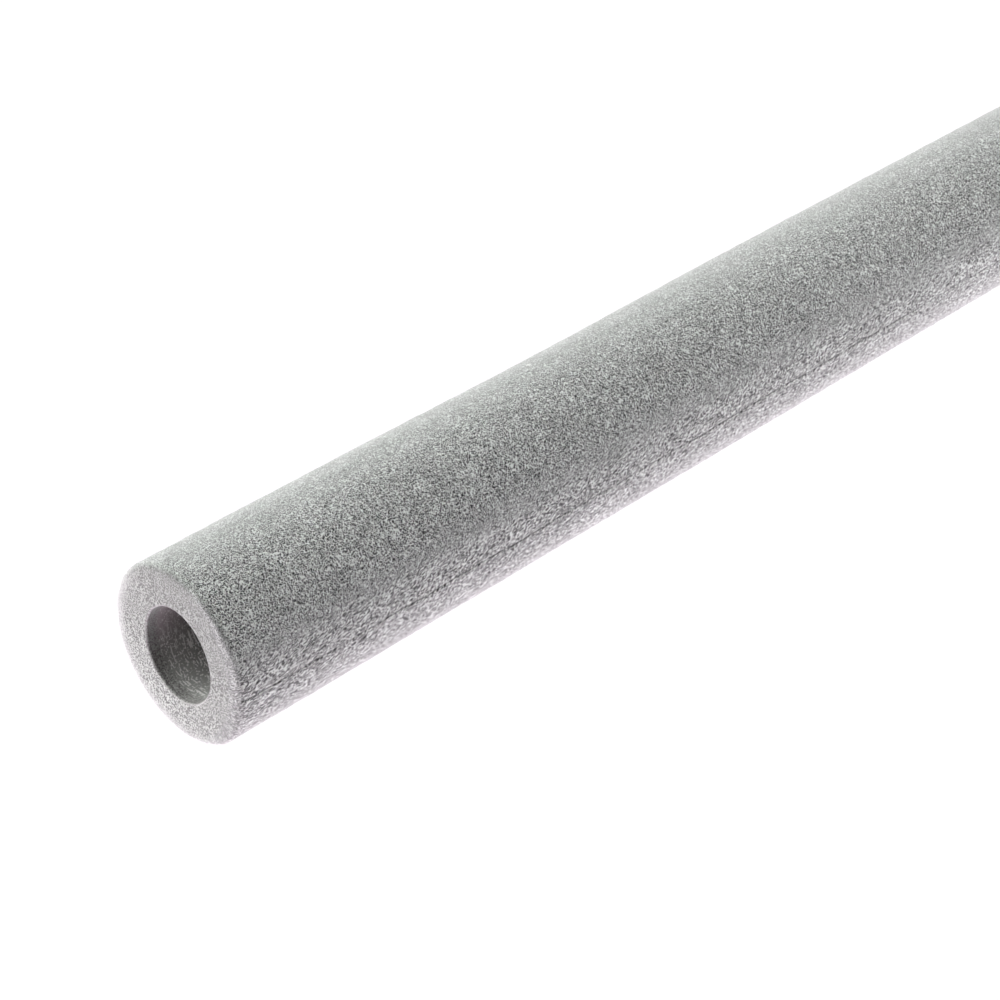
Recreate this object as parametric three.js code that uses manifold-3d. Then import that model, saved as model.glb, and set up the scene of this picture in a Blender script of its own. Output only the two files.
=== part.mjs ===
// Pipe insulation lagging: one extruded tube of closed-cell polyethylene foam, cut square at both ends.
// It stands on one cut end, with its axis on Z and that end at Z = 0. The crease in its skin faces -Y.
import * as THREE from 'three';
import { mergeVertices } from 'three/addons/utils/BufferGeometryUtils.js';
import Module from 'manifold-3d';

// Driving dimensions, in millimetres and degrees
const tubeLength = 1000;
const pipeSize = 28; // the pipe that the tube is sold for
const foamWall = 13;
const boreSqueeze = 1.2; // the bore is this much narrower along Y, and this much wider along X, than the pipe
const endRounding = 1.5; // the soft outer edge of each cut end
const mouthRounding = 0.8; // the softer edge where the bore meets each cut end
const creaseWidth = 0.9; // the shallow line that runs the whole length of the skin
const creaseDepth = 0.5;
const creaseAngle = 269; // round from +X towards +Y, so that 270 faces -Y
const sidesRound = 96;
const stepsPerRounding = 5;
const cutterOverrun = 2; // how far each cutter runs past what it cuts
const sameCorner = 1e-4; // corners closer than this are one corner

const outerRadius = pipeSize / 2 + foamWall;
const boreHalfWidthX = (pipeSize + boreSqueeze) / 2;
const boreHalfWidthY = (pipeSize - boreSqueeze) / 2;

const wasm = await Module();
wasm.setup();

// Points on a quarter circle about (centreRadius, centreHeight), from one angle to another
function roundedCorner(centreRadius, centreHeight, radius, fromAngle, toAngle) {
  const points = [];
  for (let step = 0; step <= stepsPerRounding; step++) {
    const angle = THREE.MathUtils.lerp(fromAngle, toAngle, step / stepsPerRounding);
    points.push(new THREE.Vector2(
      centreRadius + radius * Math.cos(angle),
      centreHeight + radius * Math.sin(angle),
    ));
  }
  return points;
}

// Turns a profile of (radius, height) about the Z axis
function turnedAboutZ(profile) {
  const geometry = new THREE.LatheGeometry(profile, sidesRound);
  geometry.rotateX(Math.PI / 2);
  return geometry;
}

function solidFrom(geometry) {
  const bare = geometry.clone();
  bare.deleteAttribute('normal');
  bare.deleteAttribute('uv');
  const merged = mergeVertices(bare, sameCorner);
  // A turned profile's ends on the axis leave triangles with no area, which a solid can't hold
  const corners = merged.index.array;
  const triangles = [];
  for (let first = 0; first < corners.length; first += 3) {
    const [a, b, c] = corners.slice(first, first + 3);
    if (a !== b && b !== c && c !== a) triangles.push(a, b, c);
  }
  return new wasm.Manifold(new wasm.Mesh({
    numProp: 3,
    vertProperties: new Float32Array(merged.attributes.position.array),
    triVerts: new Uint32Array(triangles),
  }));
}

function geometryFrom(solid) {
  const mesh = solid.getMesh();
  const geometry = new THREE.BufferGeometry();
  geometry.setAttribute('position', new THREE.BufferAttribute(mesh.vertProperties, 3));
  geometry.setIndex(new THREE.BufferAttribute(mesh.triVerts, 1));
  geometry.computeVertexNormals();
  return geometry;
}

// The whole bar of foam with its two cut ends and their soft outer edges, and no bore yet
function foamBar() {
  const cornerRadius = outerRadius - endRounding;
  const profile = [
    new THREE.Vector2(0, 0),
    ...roundedCorner(cornerRadius, endRounding, endRounding, -Math.PI / 2, 0),
    ...roundedCorner(cornerRadius, tubeLength - endRounding, endRounding, 0, Math.PI / 2),
    new THREE.Vector2(0, tubeLength),
  ];
  return solidFrom(turnedAboutZ(profile));
}

// The oval hole for the pipe, which opens out a little at each mouth
function boreCutter() {
  const lipRadius = boreHalfWidthY + mouthRounding;
  const below = -cutterOverrun;
  const above = tubeLength + cutterOverrun;
  const profile = [
    new THREE.Vector2(0, below),
    new THREE.Vector2(lipRadius, below),
    ...roundedCorner(lipRadius, mouthRounding, mouthRounding, -Math.PI / 2, -Math.PI),
    ...roundedCorner(lipRadius, tubeLength - mouthRounding, mouthRounding, Math.PI, Math.PI / 2),
    new THREE.Vector2(lipRadius, above),
    new THREE.Vector2(0, above),
  ];
  const geometry = turnedAboutZ(profile);
  geometry.scale(boreHalfWidthX / boreHalfWidthY, 1, 1);
  return solidFrom(geometry);
}

// A long wedge whose edge points at the bore, for the crease in the skin
function creaseCutter() {
  const slope = creaseWidth / 2 / creaseDepth;
  const wedge = new THREE.Shape([
    new THREE.Vector2(outerRadius - creaseDepth, 0),
    new THREE.Vector2(outerRadius + cutterOverrun, -slope * (creaseDepth + cutterOverrun)),
    new THREE.Vector2(outerRadius + cutterOverrun, slope * (creaseDepth + cutterOverrun)),
  ]);
  const depth = tubeLength + 2 * cutterOverrun;
  const geometry = new THREE.ExtrudeGeometry(wedge, { depth, steps: 1, bevelEnabled: false });
  geometry.translate(0, 0, -cutterOverrun);
  geometry.rotateZ(THREE.MathUtils.degToRad(creaseAngle));
  return solidFrom(geometry);
}

const foamGrey = new THREE.MeshStandardMaterial({ color: 0xa9aba9, roughness: 0.8, metalness: 0 });

const tubeSolid = foamBar().subtract(boreCutter()).subtract(creaseCutter());
const foamTube = new THREE.Mesh(geometryFrom(tubeSolid), foamGrey);
foamTube.name = 'foam_tube';

const lagging = new THREE.Group();
lagging.add(foamTube);

export default lagging;
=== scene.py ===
"""Dresses the foam tube of a pipe insulation lagging: its crinkled skin, its pale cut ends and the film
inside its bore.

The tube stands on one cut end, as its frame does. The camera is turned on its side, so that the picture
shows the tube lying down, with +X for its upper side and the upper cut end nearest.
"""

import math

import bpy
import numpy as np
from bpy.props import FloatProperty, FloatVectorProperty, IntProperty, PointerProperty
from mathutils import Matrix, Vector


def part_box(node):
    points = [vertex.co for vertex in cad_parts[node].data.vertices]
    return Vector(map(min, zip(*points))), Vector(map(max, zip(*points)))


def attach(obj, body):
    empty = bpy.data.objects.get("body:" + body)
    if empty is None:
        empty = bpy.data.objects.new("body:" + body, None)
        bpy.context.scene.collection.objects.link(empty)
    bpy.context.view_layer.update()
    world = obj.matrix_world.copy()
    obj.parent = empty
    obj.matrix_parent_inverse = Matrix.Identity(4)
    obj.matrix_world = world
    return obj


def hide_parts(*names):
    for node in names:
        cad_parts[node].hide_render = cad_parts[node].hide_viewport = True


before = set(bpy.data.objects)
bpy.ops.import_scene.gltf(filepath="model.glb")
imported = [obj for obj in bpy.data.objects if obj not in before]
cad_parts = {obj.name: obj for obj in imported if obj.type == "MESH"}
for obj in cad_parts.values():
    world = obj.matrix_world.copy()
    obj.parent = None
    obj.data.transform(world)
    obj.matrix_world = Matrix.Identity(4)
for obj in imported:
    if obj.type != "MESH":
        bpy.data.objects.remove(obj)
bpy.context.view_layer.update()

bl_info = {
    "name": "Pipe Lagging",
    "version": (1, 0, 0),
    "blender": (4, 5, 0),
    "location": "View3D > Sidebar > Lagging",
    "description": "Makes a foam tube with a crinkled skin, cut ends and a bore, and a pale stage for it",
    "category": "Object",
}

TUBE_NODE = "foam_tube"
MM = 0.001
FIRST_SEED = 28          # random draws are numbered from here, so that each run gives the same tube


def measured_bore(node, axis):
    """Half the bore's width along axis 0 or 1, in metres: the least distance from the tube's own axis
    among the node's vertices that lie on that side of it and inside the middle of the wall."""
    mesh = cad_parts[node].data
    places = np.zeros(len(mesh.vertices) * 3, np.float32)
    mesh.vertices.foreach_get("co", places)
    places = places.reshape(-1, 3).astype(float)
    outside = np.hypot(places[:, 0], places[:, 1]).max()
    along, aside = places[:, axis], places[:, 1 - axis]
    level = (np.abs(aside) < 0.01 * MM) & (along > 0) & (along < 0.75 * outside)
    return float(along[level].min())


LOW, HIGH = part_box(TUBE_NODE)
TUBE_LENGTH = HIGH.z - LOW.z
TUBE_RADIUS = (HIGH.x - LOW.x) / 2
BORE_HALF_X = measured_bore(TUBE_NODE, 0)
BORE_HALF_Y = measured_bore(TUBE_NODE, 1)


def length_property(name, description, default, smallest=0.0, largest=2.0):
    return FloatProperty(
        name=name, description=description, default=default, min=smallest, max=largest,
        precision=5, subtype="DISTANCE", unit="LENGTH",
    )


def colour_property(name, description, default):
    return FloatVectorProperty(
        name=name, description=description, default=default, min=0.0, max=1.0, size=3, subtype="COLOR",
    )


def angle_property(name, description, degrees):
    return FloatProperty(
        name=name, description=description, default=math.radians(degrees), subtype="ANGLE", unit="ROTATION",
    )


def share_property(name, description, default, largest=1.0):
    return FloatProperty(
        name=name, description=description, default=default, min=0.0, max=largest, subtype="FACTOR",
    )


class LaggingShape(bpy.types.PropertyGroup):
    """Sizes of the foam tube that its frame doesn't give."""

    end_rounding: length_property("End rounding", "Soft outer edge of each cut end", 2.0 * MM)
    mouth_rounding: length_property(
        "Mouth rounding", "Softer edge where the bore meets each cut end", 0.8 * MM,
    )
    crease_width: length_property("Crease width", "Width of the line that runs along the skin", 0.9 * MM)
    crease_depth: length_property("Crease depth", "Depth of that line at its deepest", 0.32 * MM)
    crease_angle: angle_property("Crease angle", "Where the line runs, from +X round towards +Y", 269)
    skin_relief: length_property("Skin relief", "Height of the skin's broad, shallow dimples", 0.10 * MM)
    cut_relief: length_property("Cut relief", "How far the cut ends wander from a flat plane", 0.12 * MM)
    cut_slant: length_property(
        "Cut slant", "How far the upper cut end drops at +X and rises at -X", 0.7 * MM,
    )
    waist_depth: length_property("Waist depth", "Depth of the gentle waist below the upper end", 0.6 * MM)
    waist_place: length_property("Waist place", "How far below the upper end it is deepest", 150 * MM)
    waist_spread: length_property("Waist spread", "How far along the tube it fades", 55 * MM)
    waist_angle: angle_property("Waist angle", "Where it is deepest, from +X round towards +Y", 40)
    sides_round: IntProperty(
        name="Sides round", description="Steps round the tube", default=232, min=24, max=512,
    )
    rows_down: IntProperty(
        name="Rows down", description="Rows of points down the skin", default=290, min=24, max=512,
    )


class LaggingFinish(bpy.types.PropertyGroup):
    """Colours and grain of the foam, with its painted shade, painted highlights and painted glints."""

    skin_colour: colour_property("Skin colour", "Colour of the crinkled outer skin", (0.93, 0.98, 0.935))
    skin_tinge: colour_property(
        "Skin tinge", "Colour that the skin goes to in broad patches", (0.88, 0.95, 0.89),
    )
    # Painted shade: the pits are black to stand in for the shade down in the skin's crinkles.
    pit_shade_colour: colour_property("Pit colour", "Colour down in the skin's pits", (0.0, 0.0, 0.0))
    # Painted glints: the palest tips stand in for light caught on the crests of the wrinkles.
    tip_glint_colour: colour_property("Tip colour", "Colour of the palest tips of the skin", (0.95, 1.0, 0.955))
    tip_glint_share: share_property("Tip share", "How far those tips go to that colour", 1.0)
    tip_glint_edge: share_property("Tip edge", "Height of the noise above which a tip starts", 0.40)
    calm_share: share_property("Calm share", "How far the grain fades on the calm sides, +Y and -X", 0.50)
    calm_level: share_property("Calm level", "Height that the grain fades to there", 0.66)
    fold_stretch: share_property("Fold stretch", "Width of a fold as a share of its length", 0.32)
    fold_sway: length_property("Fold sway", "How far the folds sway from side to side", 1.2 * MM)
    fold_crossing: share_property(
        "Fold crossing", "Brightness of the finer lines that cross the folds", 0.3,
    )
    fold_height: length_property("Fold height", "Height of the folds", 0.20 * MM)
    fold_lean: share_property("Fold lean", "How far the folds lean towards -X on their way up", 0.3)
    fold_pitch: length_property(
        "Fold pitch", "Distance round the tube from one fold to the next", 0.48 * MM,
    )
    fold_line: share_property("Fold line", "Width of a fold, in the noise's height", 0.172)
    # Painted shade on the skin's last millimetres at each cut end, towards -Y.
    fringe_shade_colour: colour_property(
        "Fringe colour", "Colour that the skin goes to at each cut end", (0.08, 0.085, 0.08),
    )
    fringe_shade_share: share_property("Fringe share", "How far it goes to that colour there", 0.58)
    skin_reach: length_property("Skin reach", "How far the skin runs in over the cut ends at -Y", 6.1 * MM)
    # Painted shade in the crease: how dark it is where it is darkest.
    crease_shade: share_property("Crease stain", "How dark the crease is where it's darkest", 0.85)
    cut_colour: colour_property("Cut colour", "Colour of the cut ends", (0.345, 0.366, 0.342))
    # Painted highlight on the outer edge of the cut ends, towards -X and +Y.
    rim_highlight_colour: colour_property(
        "Rim colour", "Colour that the cut ends pale to at their outer edge", (0.55, 0.56, 0.55),
    )
    rim_highlight_share: share_property("Rim share", "How far they go to that colour there", 0.75)
    cut_spread: share_property("Cut spread", "Spread of the cut ends' grain about its middle", 0.10)
    bore_colour: colour_property(
        "Bore colour", "Colour of the film that lines the bore", (0.28, 0.25, 0.255),
    )
    # Painted light: the film and the mouth's grain pale towards -X.
    bore_low_lit_colour: colour_property(
        "Bore lower colour", "Colour of the film towards -X", (0.46, 0.47, 0.45),
    )
    # Painted shade on the film towards +X.
    bore_high_shade_colour: colour_property(
        "Bore upper colour", "Colour that the film nears at +X", (0.15, 0.175, 0.155),
    )
    # Painted shade deep inside the bore.
    bore_deep_shade_colour: colour_property(
        "Bore deep colour", "Colour that it nears deep inside", (0.06, 0.055, 0.055),
    )
    # Scratches in the bore, and painted glints as pale specks.
    scratch_and_glint_colour: colour_property(
        "Mark colour", "Colour of the scratches and specks in the bore", (1.0, 1.0, 0.98),
    )
    mouth_colour: colour_property(
        "Mouth colour", "Colour of the grain inside the mouths", (0.25, 0.30, 0.265),
    )
    wrinkle_pitch: length_property(
        "Wrinkle pitch", "Distance from one wrinkle of the skin to the next", 0.78 * MM,
    )
    wrinkle_line: share_property("Wrinkle line", "Width of a wrinkle, in the noise's height", 0.107)
    wrinkle_height: length_property("Wrinkle height", "Height of the skin's wrinkles", 0.20 * MM)
    grain_pitch: length_property("Cut grain pitch", "Distance across a cell on the cut ends", 0.43 * MM)
    grain_height: length_property("Cut grain height", "Height of the grain on the cut ends", 0.08 * MM)


class LaggingStage(bpy.types.PropertyGroup):
    """The floor, the room, the far light and the camera."""

    floor_colour: colour_property("Floor colour", "Colour of the plain floor", (0.645, 0.650, 0.650))
    room_light: share_property(
        "Room light", "Strength of the light from the room's white sides", 2.146, 8.0,
    )
    under_boost: share_property(
        "Under boost", "Light from the side under the tube, as a share of the room's", 1.72, 4.0,
    )
    dark_side: FloatVectorProperty(
        name="Dark side", description="Direction of the middle of the room's dark side",
        default=(0.454, -0.819, 0.351), size=3, subtype="DIRECTION",
    )
    dark_share: share_property("Dark share", "Light left on the dark side, as a share of the room's", 0.003)
    dark_edge: share_property("Dark edge", "Cosine of the angle from its middle to its edge", 0.392)
    dark_softness: share_property("Dark softness", "How far that cosine spreads over the soft edge", 0.098)
    far_power: FloatProperty(
        name="Far power", description="Power of the far light", default=0.28, min=0.0, unit="POWER",
    )
    far_distance: length_property(
        "Far distance", "How far the far light stands from the tube's axis", 0.225,
    )
    far_angle: angle_property("Far angle", "Turn of the far light round the tube from -Y towards +X", 26)
    far_height: length_property("Far height", "Height of the far light's middle", 0.45)
    far_length: length_property("Far length", "Length of the far light, which stands upright", 0.70)
    far_width: length_property("Far width", "Width of the far light", 0.12)
    upper_tint: colour_property("Upper tint", "Colour of the room's light", (0.98, 1.0, 0.975))
    under_tint: colour_property(
        "Under tint", "Colour of the light from the side under the tube", (1.0, 0.878, 0.98),
    )
    camera_place: FloatVectorProperty(
        name="Camera place", description="Where the camera stands, from the middle of the upper cut end",
        default=(0.44459, -0.45936, 0.33328), size=3, precision=5, subtype="TRANSLATION", unit="LENGTH",
    )
    camera_pitch: angle_property("Camera pitch", "How steeply the view runs towards -X", 35.056)
    camera_heading: angle_property("Camera heading", "Turn of the view from -Z towards +Y", 45.282)
    focal_share: FloatProperty(
        name="Focal share", description="Focal length as a multiple of the picture's width", default=2.6707,
    )


# Surfaces

def smooth_step(share):
    """Three times the square less twice the cube, for shares held between 0 and 1."""
    held = np.clip(share, 0, 1)
    return held * held * (3 - 2 * held)


def ripples(angle, height, pitch, seed, waves=28):
    """A smooth random height between about -1 and 1 on a grid of angles round and heights up the tube.

    It is a sum of cosine waves, divided by twice the square root of half their number. Each wave has a
    whole number of crests round the tube, so that it meets itself, and its own number of crests per metre
    up it. Both are drawn so that the crests lie about one pitch apart in every direction."""
    draw = np.random.default_rng(seed)
    turn = draw.uniform(0, 2 * math.pi, waves)
    crests = 2 * math.pi / pitch * draw.uniform(0.6, 1.15, waves)
    phase = draw.uniform(0, 2 * math.pi, waves)
    round_it = np.round(np.cos(turn) * crests * TUBE_RADIUS)
    up_it = np.sin(turn) * crests
    total = sum(np.cos(r * angle + u * height + p) for r, u, p in zip(round_it, up_it, phase))
    return total / math.sqrt(waves / 2) / 2


def angles_round(shape):
    """Angles round the tube, evenly spaced, with more of them close to the crease."""
    even = np.arange(shape.sides_round) * 2 * math.pi / shape.sides_round
    half = shape.crease_width / 2 / TUBE_RADIUS
    near = shape.crease_angle + half * np.linspace(-1.8, 1.8, 13)
    clear = np.abs((even - shape.crease_angle + math.pi) % (2 * math.pi) - math.pi) > 1.9 * half
    return np.sort(np.concatenate([even[clear], near % (2 * math.pi)]))


def skin_shares(rows):
    """How far down the skin each of its rows lies, as a share of the way between its two rounded edges.

    It is a blend of an even step and its square, so that rows lie closest together near the upper end."""
    step = np.linspace(0, 1, rows)
    return step * 0.45 + step ** 2 * 0.55


def half_profile(shape):
    """The section of the wall over the upper half of the profile, as rows of (share, offset, drop).

    A row lies at a share of the way from the bore to the skin, moved outwards by the offset and down
    from the cut end by the drop. It starts in the bore, runs round a quarter circle at the mouth, across
    the flat ring, and round a quarter circle at the outer edge."""
    quarter = np.linspace(0, math.pi / 2, 7)
    mouth = np.stack([
        np.zeros_like(quarter),
        shape.mouth_rounding * (1 - np.cos(quarter)),
        shape.mouth_rounding * (1 - np.sin(quarter)),
    ], 1)
    across = np.linspace(0, 1, 16)[1:-1]
    ring = np.stack([
        across,
        shape.mouth_rounding * (1 - across) - shape.end_rounding * across,
        np.zeros_like(across),
    ], 1)
    edge = np.stack([
        np.ones_like(quarter),
        -shape.end_rounding * (1 - np.sin(quarter)),
        shape.end_rounding * (1 - np.cos(quarter)),
    ], 1)
    return np.concatenate([mouth, ring, edge])


def tube_rows(shape):
    """Every row of the closed profile as (share, offset, height): up the bore, over the upper cut end,
    down the skin and back under the lower cut end."""
    upper = half_profile(shape)
    upper_rows = np.stack([upper[:, 0], upper[:, 1], TUBE_LENGTH - upper[:, 2]], 1)
    lower_rows = np.stack([upper[::-1, 0], upper[::-1, 1], upper[::-1, 2]], 1)
    skin_length = TUBE_LENGTH - 2 * shape.end_rounding
    down = TUBE_LENGTH - shape.end_rounding - skin_shares(shape.rows_down)[1:-1] * skin_length
    skin = np.stack([np.ones_like(down), np.zeros_like(down), down], 1)
    up = np.linspace(shape.mouth_rounding, TUBE_LENGTH - shape.mouth_rounding, 40)[1:-1]
    bore = np.stack([np.zeros_like(up), np.zeros_like(up), up], 1)
    return np.concatenate([bore, upper_rows, skin, lower_rows])


def crease_cut(shape, angle, height):
    """How deep the crease is at each place: a rounded groove whose middle wavers a little along the tube,
    and whose depth comes and goes between about half and all of its full depth."""
    waver = shape.crease_width * (
        0.25 * ripples(0.0, height, 35 * MM, FIRST_SEED + 5)
        + 0.25 * ripples(0.0, height, 9 * MM, FIRST_SEED + 7)
    )
    aside = (angle - shape.crease_angle) * TUBE_RADIUS - waver
    across = np.clip(np.abs(aside) / (shape.crease_width / 2), 0, 1)
    strength = 0.78 + 0.22 * ripples(0.0, height, 60 * MM, FIRST_SEED + 6)
    return shape.crease_depth * strength * (1 + np.cos(math.pi * across)) / 2


def waist_cut(shape, angle, height):
    """A gentle waist on the tube's upper side as the picture shows it: a bell curve up the tube times a
    cosine round it."""
    up = np.exp(-((height - (TUBE_LENGTH - shape.waist_place)) / shape.waist_spread) ** 2)
    facing = np.clip(np.cos(angle - shape.waist_angle), 0, 1)
    return shape.waist_depth * up * facing


def tube_points(shape):
    """The foam tube's closed surface as a grid of points, rows of the profile by angles round, with the share
    of bore and the share of crease at each point.

    A point's distance from the axis goes from the oval bore to the round skin by its row's share, plus
    its row's offset. On the skin the dimples are added to that distance, and the waist and the crease are
    taken off it. On the cut ends the height wanders a little, and near the upper one it slants across X.
    What is done to the skin and to the bore fades out over the rounded edges."""
    share, offset, height = (column[:, None] for column in tube_rows(shape).T)
    angle = angles_round(shape)[None, :]
    oval = BORE_HALF_X * BORE_HALF_Y / np.hypot(BORE_HALF_Y * np.cos(angle), BORE_HALF_X * np.sin(angle))
    on_skin = share * smooth_step(1 - np.abs(offset) / shape.end_rounding)
    in_bore = (1 - share) * smooth_step(1 - np.abs(offset) / shape.mouth_rounding)
    on_skin = np.where(share >= 1, on_skin, 0) * np.ones_like(angle)
    in_bore = np.where(share <= 0, in_bore, 0) * np.ones_like(angle)
    dimples = (
        0.6 * ripples(angle, height, 9 * MM, FIRST_SEED)
        + 0.4 * ripples(angle, height, 4.5 * MM, FIRST_SEED + 1)
    )
    radius = oval * (1 - share) + TUBE_RADIUS * share + offset
    groove = crease_cut(shape, angle, height)
    radius = radius + on_skin * (shape.skin_relief * dimples - groove - waist_cut(shape, angle, height))
    radius = radius + in_bore * 0.5 * shape.skin_relief * ripples(angle, height, 30 * MM, FIRST_SEED + 2)
    on_cut = (1 - on_skin) * (1 - in_bore)
    wander = ripples(angle, share * 13 * MM, 5 * MM, FIRST_SEED + 3)
    facing = np.where(height > TUBE_LENGTH / 2, 1.0, -1.0)
    lifted = height - facing * on_cut * shape.cut_relief * (1 + wander) / 2
    near_upper = smooth_step(1 - (TUBE_LENGTH - height) / (10 * MM))
    lifted = lifted - near_upper * shape.cut_slant * radius * np.cos(angle) / TUBE_RADIUS
    points = np.stack([radius * np.cos(angle), radius * np.sin(angle), lifted], -1)
    return points, in_bore, on_skin * groove / shape.crease_depth


def closed_grid(points):
    """Vertices and quads of a grid that meets itself both ways, with its faces pointing outwards when its
    rows run up the inside, and its columns run round anticlockwise."""
    rows, columns = points.shape[:2]
    index = np.arange(rows * columns).reshape(rows, columns)
    next_row = np.roll(index, -1, 0)
    quads = np.stack([index, next_row, np.roll(next_row, -1, 1), np.roll(index, -1, 1)], -1)
    return points.reshape(-1, 3), quads.reshape(-1, 4)


def mesh_object(name, vertices, quads):
    mesh = bpy.data.meshes.new(name)
    mesh.from_pydata(vertices, [], quads)
    mesh.shade_smooth()
    mesh.update()
    piece = bpy.data.objects.new(name, mesh)
    bpy.context.scene.collection.objects.link(piece)
    return piece


def write_share(mesh, name, values):
    """A number from 0 to 1 on each vertex, for the material to read."""
    attribute = mesh.attributes.new(name, "FLOAT", "POINT")
    attribute.data.foreach_set("value", np.ascontiguousarray(values, np.float32).ravel())


# Materials

class NodeBench:
    """Short names for the material's nodes, so that a finish reads as a list of what it is made of."""

    def __init__(self, name):
        self.material = bpy.data.materials.new(name)
        self.material.use_nodes = True
        self.tree = self.material.node_tree
        self.shader = self.tree.nodes["Principled BSDF"]

    def node(self, kind, **settings):
        made = self.tree.nodes.new(kind)
        for name, value in settings.items():
            setattr(made, name, value)
        return made

    def feed(self, socket, value):
        if isinstance(value, bpy.types.NodeSocket):
            self.tree.links.new(value, socket)
        else:
            socket.default_value = value

    def attribute(self, name):
        return self.node("ShaderNodeAttribute", attribute_name=name).outputs["Fac"]

    def place(self):
        return self.node("ShaderNodeTexCoord").outputs["Object"]

    def swayed(self, vector, pitch, reach):
        """The place, moved on along each axis by up to about reach, by a noise of that pitch."""
        moved = self.vector_math("MULTIPLY_ADD", self.noise(vector, pitch, 1.0, output="Color"), (reach,) * 3)
        self.feed(moved.node.inputs[2], vector)
        return moved

    def mapped(self, vector, scale):
        mapping = self.node("ShaderNodeMapping")
        self.feed(mapping.inputs["Vector"], vector)
        self.feed(mapping.inputs["Scale"], scale)
        return mapping.outputs["Vector"]

    def separate(self, vector):
        split = self.node("ShaderNodeSeparateXYZ")
        self.feed(split.inputs[0], vector)
        return split.outputs

    def math(self, operation, first, second=0.0, clamp=False):
        made = self.node("ShaderNodeMath", operation=operation, use_clamp=clamp)
        self.feed(made.inputs[0], first)
        self.feed(made.inputs[1], second)
        return made.outputs[0]

    def vector_math(self, operation, first, second):
        made = self.node("ShaderNodeVectorMath", operation=operation)
        self.feed(made.inputs[0], first)
        self.feed(made.inputs[1], second)
        return made.outputs[0]

    def noise(self, vector, pitch, detail=2.0, output="Fac"):
        made = self.node("ShaderNodeTexNoise", noise_dimensions="3D")
        self.feed(made.inputs["Vector"], vector)
        self.feed(made.inputs["Scale"], 1 / pitch)
        self.feed(made.inputs["Detail"], detail)
        self.feed(made.inputs["Roughness"], 0.5)
        return made.outputs[output]

    def leaned(self, vector, lean, squeeze):
        """The place with X moved on by lean times Z, and Z multiplied by squeeze, so that what is drawn
        there runs along the tube and leans towards -X on its way up."""
        split = self.separate(vector)
        made = self.node("ShaderNodeCombineXYZ")
        self.feed(made.inputs[0], self.math("ADD", split["X"], self.math("MULTIPLY", split["Z"], lean)))
        self.feed(made.inputs[1], split["Y"])
        self.feed(made.inputs[2], self.math("MULTIPLY", split["Z"], squeeze))
        return made.outputs[0]

    def lines(self, vector, pitch, width):
        """Bright wavy lines, from 0 between them to 1 along their middles: they run where a noise passes
        its middle value, to within width."""
        off = self.math("ABSOLUTE", self.math("SUBTRACT", self.noise(vector, pitch, 0.0), 0.5))
        return self.stretched(off, 0.85 * width, 0.25 * width)

    def net(self, vector, pitch, width, finer=0.85):
        """Lines, crossed by a finer set of them that is finer times as bright."""
        crossing = self.math("MULTIPLY", self.lines(vector, 0.6 * pitch, width), finer)
        return self.math("MAXIMUM", self.lines(vector, pitch, width), crossing)

    def stretched(self, value, low, high, new_low=0.0, new_high=1.0):
        """value, with low..high moved to new_low..new_high along a smooth step, and held there."""
        made = self.node("ShaderNodeMapRange", interpolation_type="SMOOTHSTEP", clamp=True)
        for socket, given in zip(made.inputs, (value, low, high, new_low, new_high)):
            self.feed(socket, given)
        return made.outputs[0]

    def mix(self, share, first, second):
        made = self.node("ShaderNodeMix", data_type="FLOAT")
        self.feed(made.inputs[0], share)
        self.feed(made.inputs[2], first)
        self.feed(made.inputs[3], second)
        return made.outputs[0]

    def mix_colour(self, share, first, second):
        made = self.node("ShaderNodeMix", data_type="RGBA")
        self.feed(made.inputs[0], share)
        for socket, given in ((made.inputs[6], first), (made.inputs[7], second)):
            self.feed(socket, given if isinstance(given, bpy.types.NodeSocket) else (*given, 1.0))
        return made.outputs[2]

    def bump(self, height, distance):
        made = self.node("ShaderNodeBump")
        self.feed(made.inputs["Strength"], 1.0)
        self.feed(made.inputs["Distance"], distance)
        self.feed(made.inputs["Height"], height)
        return made.outputs["Normal"]


def depth_below_cut(bench, place, shape):
    """How far a place lies from the nearer cut end, along the tube. The upper one slants across X."""
    split = bench.separate(place)
    slant = bench.math("MULTIPLY", split["X"], shape.cut_slant / TUBE_RADIUS)
    from_upper = bench.math("SUBTRACT", bench.math("SUBTRACT", TUBE_LENGTH, split["Z"]), slant)
    return bench.math("MINIMUM", split["Z"], from_upper)


def distance_from_axis(bench, place):
    split = bench.separate(place)
    squares = [bench.math("MULTIPLY", split[axis], split[axis]) for axis in "XY"]
    return bench.math("SQRT", bench.math("ADD", *squares))


def folded_out(bench, place, radius):
    """The place, moved straight out to the tube's radius and on along Z by as far as it moved, so that what
    is drawn on the skin runs on over the rounded edge of the upper cut end."""
    split = bench.separate(place)
    outwards = bench.math("DIVIDE", TUBE_RADIUS, radius)
    moved = bench.node("ShaderNodeCombineXYZ")
    bench.feed(moved.inputs[0], bench.math("MULTIPLY", split["X"], outwards))
    bench.feed(moved.inputs[1], bench.math("MULTIPLY", split["Y"], outwards))
    bench.feed(moved.inputs[2], bench.math("ADD", split["Z"], bench.math("SUBTRACT", TUBE_RADIUS, radius)))
    return moved.outputs[0]


def skin_over_edge(bench, place, over, finish):
    """The share of skin at each place, from 0 on the cut ends to 1 down the skin. The change is ragged, and
    towards -Y the skin reaches further in over the cut end."""
    reach = bench.stretched(bench.separate(place)["Y"], 0.0, -TUBE_RADIUS, 0.0, finish.skin_reach)
    ragged = bench.math("MULTIPLY", bench.math("SUBTRACT", bench.noise(place, 0.8 * MM, 2.0), 0.5), 3.0 * MM)
    return bench.stretched(bench.math("ADD", bench.math("ADD", over, reach), ragged), -1.3 * MM, 1.3 * MM)


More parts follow.
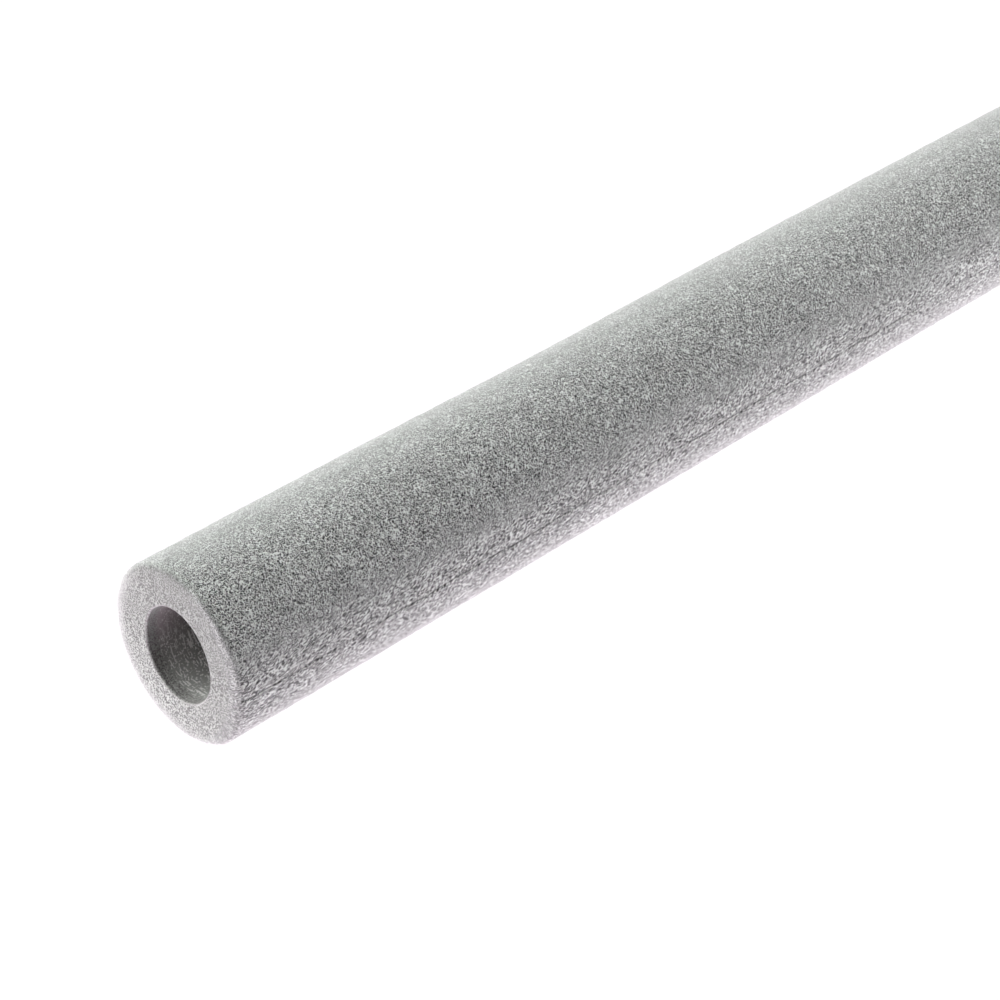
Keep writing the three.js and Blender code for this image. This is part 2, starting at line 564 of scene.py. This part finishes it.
def skin_lines(bench, place, across, calm, finish):
    """(brightness, share of folds) of the skin's bright lines: a tight tangle of curls towards +X, which
    draws out into wavy folds along the tube towards -X. Both fade to an even level on the calm sides."""
    pitch = finish.wrinkle_pitch
    curls = bench.net(bench.swayed(place, 2 * pitch, 0.8 * pitch), pitch, finish.wrinkle_line)
    wavy = bench.swayed(place, 3.0 * MM, finish.fold_sway)
    leaning = bench.leaned(wavy, finish.fold_lean, finish.fold_stretch)
    folds = bench.net(leaning, finish.fold_pitch, finish.fold_line, finish.fold_crossing)
    drawn_out = bench.stretched(across, 0.60, 0.15)
    lines = bench.mix(drawn_out, curls, folds)
    return bench.mix(bench.math("MULTIPLY", calm, finish.calm_share), lines, finish.calm_level), drawn_out


def skin_tip_glints(bench, place, lines, calm, finish):
    """The share of the palest colour, a painted glint: on the brightest of the lines, where a fine noise is
    high, and less of it on the calm sides."""
    palest = bench.noise(place, 0.7 * finish.wrinkle_pitch, 0.0)
    palest = bench.stretched(palest, finish.tip_glint_edge, finish.tip_glint_edge + 0.1, 0.0, finish.tip_glint_share)
    palest = bench.math("MULTIPLY", palest, bench.mix(calm, 1.0, 0.2))
    return bench.math("MULTIPLY", bench.stretched(lines, 0.6, 0.95), palest)


def skin_finish(bench, place, over, finish):
    """(colour, height in metres, roughness) of the skin.

    Bright lines stand up from pits that hold painted shade, in broad patches that are a little greener or
    darker, with painted glints on the brightest lines. They are calmer towards +Y and towards -X. The crease
    has broken painted shade, and towards -Y the skin has painted shade over its last millimetres at each cut
    end."""
    split = bench.separate(place)
    across = bench.math("DIVIDE", split["X"], TUBE_RADIUS)
    beyond = bench.math("DIVIDE", split["Y"], TUBE_RADIUS)
    # On the calm sides the painted pit shade and the painted glints fade towards an even level.
    calm = bench.math("MAXIMUM", bench.stretched(across, -0.25, -0.80), bench.stretched(beyond, -0.55, 0.60))
    lines, drawn_out = skin_lines(bench, place, across, calm, finish)
    tips = skin_tip_glints(bench, place, lines, calm, finish)
    tinge = bench.stretched(bench.noise(place, 4 * MM, 2.0), 0.35, 0.65)
    patches = bench.stretched(bench.noise(place, 5 * MM, 2.0), 0.3, 0.7)
    colour = bench.mix_colour(tinge, finish.skin_colour, finish.skin_tinge)
    # Painted shade in the pits between the bright lines.
    colour = bench.mix_colour(lines, finish.pit_shade_colour, colour)
    # Painted glints on the palest tips of the lines.
    colour = bench.mix_colour(tips, colour, finish.tip_glint_colour)
    # Broad patches go darker at random towards the same colour; this part is tone, not shade.
    colour = bench.mix_colour(bench.math("MULTIPLY", patches, 0.10), colour, finish.pit_shade_colour)
    # Painted shade down in the crease, broken along its length.
    broken = bench.stretched(bench.noise(place, 2.5 * MM, 1.0), 0.35, 0.60, 0.30, finish.crease_shade)
    crease_shade_mask = bench.math("MULTIPLY", bench.stretched(bench.attribute("crease_share"), 0.30, 0.80), broken)
    colour = bench.mix_colour(crease_shade_mask, colour, finish.pit_shade_colour)
    # Painted shade: the skin darkens towards -Y over its last millimetres at each cut end.
    fringe_shade = bench.math(
        "MULTIPLY", bench.stretched(over, 1.4 * MM, -0.6 * MM, 0.0, finish.fringe_shade_share),
        bench.stretched(beyond, 0.0, -0.8),
    )
    colour = bench.mix_colour(fringe_shade, colour, finish.fringe_shade_colour)
    height = bench.math("MULTIPLY", lines, bench.mix(drawn_out, finish.wrinkle_height, finish.fold_height))
    return colour, height, 0.55


def cut_finish(bench, place, over, finish):
    """(colour, height in metres, roughness) of the cut foam: fine cells, each a shallow pit, in broad faint
    patches. Painted shade darkens it towards +X and towards -Y, and a painted highlight pales it to its outer
    edge towards -X and +Y."""
    grain = bench.noise(place, finish.grain_pitch, 0.0)
    pits = bench.stretched(grain, 0.5 - finish.cut_spread, 0.5 + finish.cut_spread)
    patches = bench.stretched(bench.noise(place, 4 * MM, 2.0), 0.3, 0.7)
    split = bench.separate(place)
    # Painted shade: the cut end darkens towards +X (upper) and towards -Y (front).
    upper = bench.stretched(split["X"], -TUBE_RADIUS, TUBE_RADIUS, 0.0, 0.42)
    front = bench.stretched(split["Y"], TUBE_RADIUS, -TUBE_RADIUS, 0.0, 0.16)
    bright = tuple(min(1.0, channel * 1.62) for channel in finish.cut_colour)
    dark = tuple(channel * 0.36 for channel in finish.cut_colour)
    colour = bench.mix_colour(pits, dark, bright)
    # The patches are a random tone; upper and front add painted shade.
    shade = bench.math("ADD", bench.math("MULTIPLY", patches, 0.14), bench.math("ADD", upper, front))
    colour = bench.mix_colour(shade, colour, dark)
    # Painted highlight: the outer edge pales where it faces the bright room, towards -X and +Y.
    towards = bench.math("SUBTRACT", split["Y"], split["X"])
    lit = bench.stretched(towards, -0.3 * TUBE_RADIUS, 0.6 * TUBE_RADIUS)
    behind = bench.stretched(split["Y"], -0.45 * TUBE_RADIUS, 0.35 * TUBE_RADIUS, 0.25, 1.0)
    rim_highlight = bench.stretched(over, -6.0 * MM, -0.5 * MM, 0.0, finish.rim_highlight_share)
    rim_highlight = bench.math("MULTIPLY", rim_highlight, bench.math("MULTIPLY", lit, behind))
    colour = bench.mix_colour(rim_highlight, colour, finish.rim_highlight_colour)
    return colour, bench.math("MULTIPLY", pits, finish.grain_height), 0.8


def shaded_bore_film(bench, split, depth, low, finish):
    """The colour of the film in the bore: brownish, with painted light paling it towards -X, and painted
    shade darkening it towards +X and deep inside.
    """
    # Painted light towards -X.
    film = bench.mix_colour(low, finish.bore_colour, finish.bore_low_lit_colour)
    # Painted shade towards +X.
    high = bench.stretched(split["X"], 0.3 * BORE_HALF_X, 0.95 * BORE_HALF_X, 0.0, 0.7)
    film = bench.mix_colour(high, film, finish.bore_high_shade_colour)
    # Painted shade: the film darkens from 6 mm to 18 mm inside.
    return bench.mix_colour(bench.stretched(depth, 6 * MM, 18 * MM, 0.0, 0.35), film, finish.bore_deep_shade_colour)


def bore_finish(bench, place, depth, finish):
    """(colour, height in metres, roughness) of the bore: a smooth film with short scratches that run round it
    and pale specks between them, most of them towards -X. The scratches are real, and the pale specks are
    painted glints.

    For a few millimetres inside each mouth the foam's grain shows through. A thin dark line runs round where
    the film begins, and the very lip has painted shadow towards +X and -Y."""
    split = bench.separate(place)
    low = bench.stretched(split["X"], 0.1 * BORE_HALF_X, -0.9 * BORE_HALF_X)
    scratches = bench.noise(bench.mapped(place, (0.20, 0.20, 1.0)), 0.50 * MM, 0.0)
    streaks = bench.math("MULTIPLY", bench.stretched(scratches, 0.60, 0.67), bench.mix(low, 0.10, 1.0))
    # Painted glints: the pale specks, most of them towards -X.
    specks = bench.stretched(bench.noise(place, 0.55 * MM, 1.0), 0.56, 0.66)
    scratches_and_glints = bench.math("MAXIMUM", streaks, bench.math("MULTIPLY", specks, bench.mix(low, 0.35, 1.0)))
    colour = bench.mix_colour(scratches_and_glints, shaded_bore_film(bench, split, depth, low, finish), finish.scratch_and_glint_colour)
    dark = tuple(channel * 0.45 for channel in finish.bore_colour)
    grain = bench.stretched(bench.noise(place, finish.grain_pitch, 0.0), 0.36, 0.64)
    upper_grain = bench.mix_colour(grain, dark, finish.mouth_colour)
    # The grain towards -X takes the painted light too.
    lower_grain = bench.mix_colour(grain, dark, finish.bore_low_lit_colour)
    mouth = bench.stretched(depth, 5.0 * MM, 2.5 * MM, 0.0, 0.8)
    colour = bench.mix_colour(mouth, colour, bench.mix_colour(low, upper_grain, lower_grain))
    aside = bench.math("ABSOLUTE", bench.math("SUBTRACT", depth, 0.95 * MM))
    colour = bench.mix_colour(bench.stretched(aside, 0.22 * MM, 0.0, 0.0, 0.6), colour, dark)
    # Painted shadow on the very lip of the mouth, towards +X and -Y.
    towards = bench.math("SUBTRACT", split["X"], split["Y"])
    front = bench.stretched(towards, 0.1 * BORE_HALF_X, 0.9 * BORE_HALF_X)
    lip = bench.math("MULTIPLY", bench.stretched(depth, 0.9 * MM, 0.6 * MM), front)
    colour = bench.mix_colour(lip, colour, tuple(channel * 0.2 for channel in finish.bore_colour))
    return colour, bench.math("MULTIPLY", scratches_and_glints, 0.05 * MM), 0.38


def foam_material(shape, finish):
    """One grey foam, whose finish goes from the skin over each rounded edge to the cut end and the bore."""
    bench = NodeBench("grey_foam")
    place = bench.place()
    depth = depth_below_cut(bench, place, shape)
    radius = distance_from_axis(bench, place)
    # The distance over the rounded edge from its middle, growing down the skin
    over = bench.math("SUBTRACT", depth, bench.math("SUBTRACT", TUBE_RADIUS, radius))
    skin = skin_finish(bench, folded_out(bench, place, radius), over, finish)
    cut = cut_finish(bench, place, over, finish)
    bore = bore_finish(bench, place, depth, finish)
    skin_share = skin_over_edge(bench, place, over, finish)
    bore_share = bench.stretched(bench.attribute("bore_share"), 0.05, 0.35)
    colour = bench.mix_colour(skin_share, cut[0], skin[0])
    colour = bench.mix_colour(bore_share, colour, bore[0])
    height = bench.mix(bore_share, bench.mix(skin_share, cut[1], skin[1]), bore[1])
    roughness = bench.mix(bore_share, bench.mix(skin_share, cut[2], skin[2]), bore[2])
    bench.feed(bench.shader.inputs["Base Color"], colour)
    bench.feed(bench.shader.inputs["Roughness"], roughness)
    bench.feed(bench.shader.inputs["Normal"], bench.bump(height, 1.0))
    bench.shader.inputs["Specular IOR Level"].default_value = 0.4
    bench.shader.inputs["Sheen Weight"].default_value = 0.25
    bench.shader.inputs["Sheen Roughness"].default_value = 0.5
    return bench.material


def floor_material(colour):
    """A plain pale floor with the faintest mottle."""
    bench = NodeBench("pale_floor")
    mottle = bench.noise(bench.place(), 0.4, 2.0)
    duller = [channel * 0.995 for channel in colour]
    bench.feed(bench.shader.inputs["Base Color"], bench.mix_colour(mottle, duller, colour))
    bench.shader.inputs["Roughness"].default_value = 0.9
    return bench.material


# Operators

class LAGGING_OT_make_tube(bpy.types.Operator):
    """Make the foam tube's skin, cut ends and bore as one closed surface, with its finish"""

    bl_idname = "lagging.make_tube"
    bl_label = "Foam Tube"

    def execute(self, context):
        shape, finish = context.scene.lagging_shape, context.scene.lagging_finish
        points, in_bore, in_crease = tube_points(shape)
        tube = mesh_object("lagging_tube", *closed_grid(points))
        write_share(tube.data, "bore_share", in_bore)
        write_share(tube.data, "crease_share", in_crease)
        tube.data.materials.append(foam_material(shape, finish))
        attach(tube, "root")
        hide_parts(TUBE_NODE)
        return {"FINISHED"}


class LAGGING_OT_make_stage(bpy.types.Operator):
    """Make the pale floor, the room of soft light, the far light and the camera"""

    bl_idname = "lagging.make_stage"
    bl_label = "Stage"

    def execute(self, context):
        stage = context.scene.lagging_stage
        context.scene.view_settings.view_transform = "Standard"
        self.make_floor(stage)
        self.make_room(context, stage)
        self.make_far_light(stage)
        self.make_camera(context, stage)
        return {"FINISHED"}

    def make_floor(self, stage):
        """A flat square under the tube's lower end."""
        half = 6.0
        corners = half * np.array([[-1, -1, 0], [1, -1, 0], [1, 1, 0], [-1, 1, 0]], float)
        floor = mesh_object("floor", corners, np.array([[0, 1, 2, 3]]))
        floor.data.materials.append(floor_material(stage.floor_colour))

    def make_room(self, context, stage):
        """A room that is white all round but for a dark side, which the tube's front faces.

        The light from a direction goes along a smooth step from dark to white, as that direction's cosine to
        the middle of the dark side falls. The side under the tube in the picture is the brightest."""
        world = bpy.data.worlds.new("studio_room")
        world.use_nodes = True
        tree = world.node_tree
        background = tree.nodes["Background"]
        towards = tree.nodes.new("ShaderNodeTexCoord").outputs["Generated"]

        def fall(direction, low, high, new_low, new_high):
            dot = tree.nodes.new("ShaderNodeVectorMath")
            dot.operation = "DOT_PRODUCT"
            tree.links.new(towards, dot.inputs[0])
            dot.inputs[1].default_value = Vector(direction).normalized()
            step = tree.nodes.new("ShaderNodeMapRange")
            step.interpolation_type = "SMOOTHSTEP"
            tree.links.new(dot.outputs["Value"], step.inputs["Value"])
            ends = {"From Min": low, "From Max": high, "To Min": new_low, "To Max": new_high}
            for name, value in ends.items():
                step.inputs[name].default_value = value
            return step.outputs["Result"]

        edge, softness, light = stage.dark_edge, stage.dark_softness, stage.room_light
        dark = fall(stage.dark_side, edge - softness, edge + softness, 1.0, stage.dark_share)
        under = fall((-1.0, 0.0, 0.0), -0.1, 0.5, light, light * stage.under_boost)
        strength = tree.nodes.new("ShaderNodeMath")
        strength.operation = "MULTIPLY"
        tree.links.new(dark, strength.inputs[0])
        tree.links.new(under, strength.inputs[1])
        tint = tree.nodes.new("ShaderNodeMix")
        tint.data_type = "RGBA"
        tree.links.new(fall((-1.0, 0.0, 0.0), -0.1, 0.5, 0.0, 1.0), tint.inputs[0])
        tint.inputs[6].default_value = (*stage.upper_tint, 1.0)
        tint.inputs[7].default_value = (*stage.under_tint, 1.0)
        tree.links.new(tint.outputs[2], background.inputs["Color"])
        tree.links.new(strength.outputs[0], background.inputs["Strength"])
        context.scene.world = world

    def make_far_light(self, stage):
        """A soft upright light that faces the tube's axis, for the part that is far from the camera."""
        data = bpy.data.lights.new("far_light", "AREA")
        data.shape = "RECTANGLE"
        data.size, data.size_y = stage.far_width, stage.far_length
        data.energy = stage.far_power
        light = bpy.data.objects.new("far_light", data)
        angle, distance = stage.far_angle, stage.far_distance
        light.location = (distance * math.sin(angle), -distance * math.cos(angle), stage.far_height)
        light.rotation_euler = (math.pi / 2, 0.0, angle)
        light.visible_camera = False
        bpy.context.scene.collection.objects.link(light)

    def make_camera(self, context, stage):
        """Forward runs towards -X by the pitch, and otherwise from -Z towards +Y by the heading."""
        pitch, heading = stage.camera_pitch, stage.camera_heading
        level = math.cos(pitch)
        forward = Vector((-math.sin(pitch), level * math.sin(heading), -level * math.cos(heading)))
        right = Vector((0.0, -math.cos(heading), -math.sin(heading)))
        up = right.cross(forward)
        data = bpy.data.cameras.new("camera")
        data.sensor_width = 36.0
        data.lens = data.sensor_width * stage.focal_share
        data.clip_start, data.clip_end = 0.01, 50.0
        camera = bpy.data.objects.new("camera", data)
        turn = Matrix((right, up, -forward)).transposed().to_4x4()
        stand = Vector(stage.camera_place) + Vector((0.0, 0.0, TUBE_LENGTH))
        camera.matrix_world = Matrix.Translation(stand) @ turn
        context.scene.collection.objects.link(camera)
        context.scene.camera = camera


class LAGGING_PT_panel(bpy.types.Panel):
    """Lists what can be made, in the 3D view's sidebar"""

    bl_idname = "LAGGING_PT_panel"
    bl_label = "Pipe Lagging"
    bl_space_type = "VIEW_3D"
    bl_region_type = "UI"
    bl_category = "Lagging"

    def draw(self, context):
        for group, operator in (
            (("lagging_shape", "lagging_finish"), "lagging.make_tube"),
            (("lagging_stage",), "lagging.make_stage"),
        ):
            box = self.layout.box()
            for name in group:
                properties = getattr(context.scene, name)
                for key in properties.bl_rna.properties.keys():
                    if key not in {"rna_type", "name"}:
                        box.prop(properties, key)
            box.operator(operator)


GROUPS = (
    ("lagging_shape", LaggingShape),
    ("lagging_finish", LaggingFinish),
    ("lagging_stage", LaggingStage),
)
CLASSES = (
    *(group for _, group in GROUPS),
    LAGGING_OT_make_tube,
    LAGGING_OT_make_stage,
    LAGGING_PT_panel,
)


def register():
    for made in CLASSES:
        bpy.utils.register_class(made)
    for name, group in GROUPS:
        setattr(bpy.types.Scene, name, PointerProperty(type=group))


def unregister():
    for name, _ in GROUPS:
        delattr(bpy.types.Scene, name)
    for made in reversed(CLASSES):
        bpy.utils.unregister_class(made)


def main():
    register()
    bpy.ops.lagging.make_stage()
    bpy.ops.lagging.make_tube()


if __name__ == "__main__":
    main()
